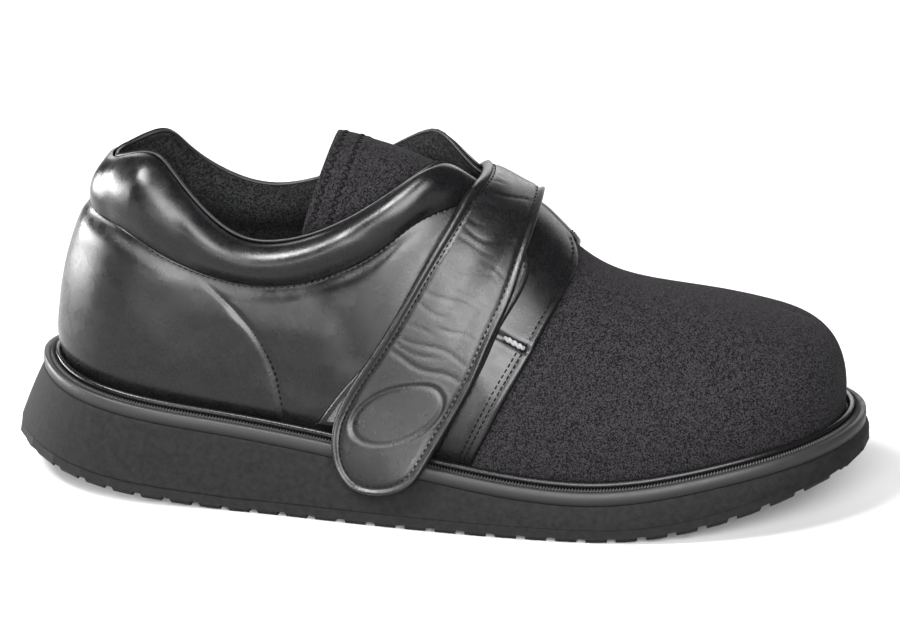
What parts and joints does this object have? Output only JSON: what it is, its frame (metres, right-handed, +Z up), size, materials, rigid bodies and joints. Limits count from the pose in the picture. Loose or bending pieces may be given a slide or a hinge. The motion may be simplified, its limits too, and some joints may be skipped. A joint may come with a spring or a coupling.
{
  "type": "walking shoe",
  "caption": "Black right walking shoe with stretch vamp and tongue, leather quarters, padded collar, one instep strap, beaded welt strip and flared wedge sole with a thin lugged tread",
  "frame": {"origin": "middle of the shoe's bounding box, on the floor", "axes": "+X to the toe, +Y to the medial side, +Z up"},
  "size_m": [0.3038, 0.1142, 0.1264],
  "materials": {
    "tread_rubber": "matte black rubber with a fine mottled surface",
    "wedge_foam": "matte black foam with a fine mottled surface",
    "welt_rubber": "dark grey satin, with a glossy black bead",
    "insole_fabric": "matte black footbed cloth",
    "upper_leather": "satin black leather quarters, matte stretch vamp",
    "stretch_fabric": "matte black stretch fabric",
    "patch_leather": "satin black leather with a dark woven edge",
    "strap_leather": "satin black leather with a folded edge"
  },
  "bodies": {
    "root": {"outsole": "tread_rubber", "midsole": "wedge_foam", "welt": "welt_rubber", "insole": "insole_fabric", "upper": "upper_leather", "tongue": "stretch_fabric", "landing_patch": "patch_leather", "strap": "strap_leather"}
  },
  "joints": []
}
